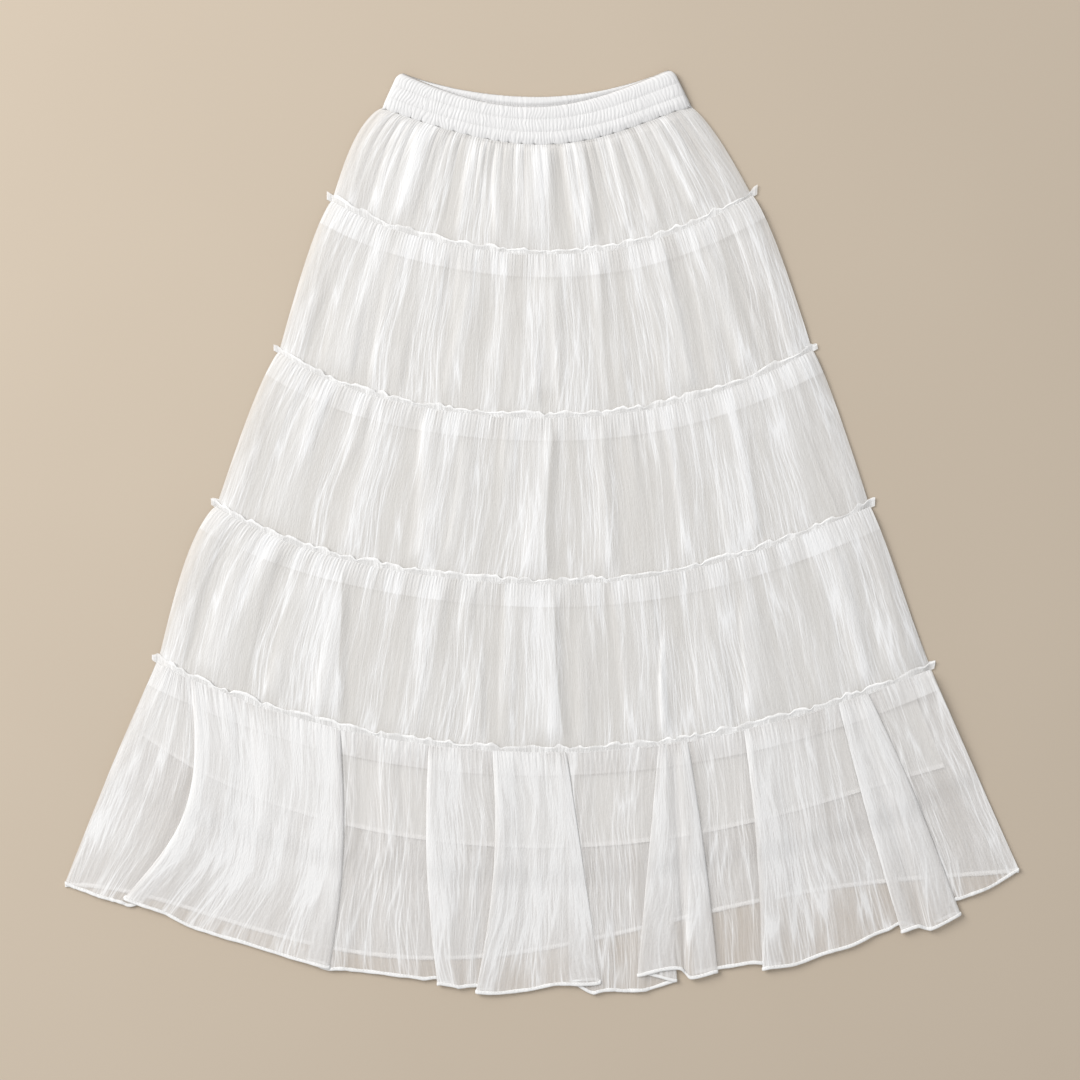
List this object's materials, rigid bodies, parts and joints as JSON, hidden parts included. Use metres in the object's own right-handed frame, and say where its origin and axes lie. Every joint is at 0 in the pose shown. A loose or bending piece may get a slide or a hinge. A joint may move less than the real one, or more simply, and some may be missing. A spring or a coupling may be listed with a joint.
{
  "type": "tiered ruffle skirt",
  "caption": "Long sheer tiered skirt laid flat: shirred elastic waistband, gathered tiers with ruffled headings, pleated bottom tier over a shorter plain lining.",
  "frame": {"origin": "on the underside of the back, on the surface it lies on, near the middle of its length and width", "axes": "+Z out of the front of the skirt, away from the surface it lies on; +Y from the hem towards the waist; +X towards the right of the picture"},
  "size_m": [0.919, 0.8872, 0.0108],
  "materials": {
    "band_cloth": "matte sheer crinkle cloth, doubled and shirred over elastic, white",
    "tier_cloth": "matte sheer crinkle cloth, gathered, white",
    "bottom_tier_cloth": "matte sheer crinkle cloth, loosely pleated, white",
    "heading_cloth": "matte sheer crinkle cloth, narrow ruffled edge, white",
    "lining_cloth": "matte plain thin lining, white"
  },
  "bodies": {
    "root": {"waistband_front": "band_cloth", "waistband_back": "band_cloth", "tier_1_front": "tier_cloth", "tier_1_back": "tier_cloth", "heading_1_front": "heading_cloth", "heading_1_back": "heading_cloth", "tier_2_front": "tier_cloth", "tier_2_back": "tier_cloth", "heading_2_front": "heading_cloth", "heading_2_back": "heading_cloth", "tier_3_front": "tier_cloth", "tier_3_back": "tier_cloth", "heading_3_front": "heading_cloth", "heading_3_back": "heading_cloth", "tier_4_front": "tier_cloth", "tier_4_back": "tier_cloth", "heading_4_front": "heading_cloth", "heading_4_back": "heading_cloth", "tier_5_front": "bottom_tier_cloth", "tier_5_back": "bottom_tier_cloth", "lining_front": "lining_cloth", "lining_back": "lining_cloth"}
  },
  "joints": []
}
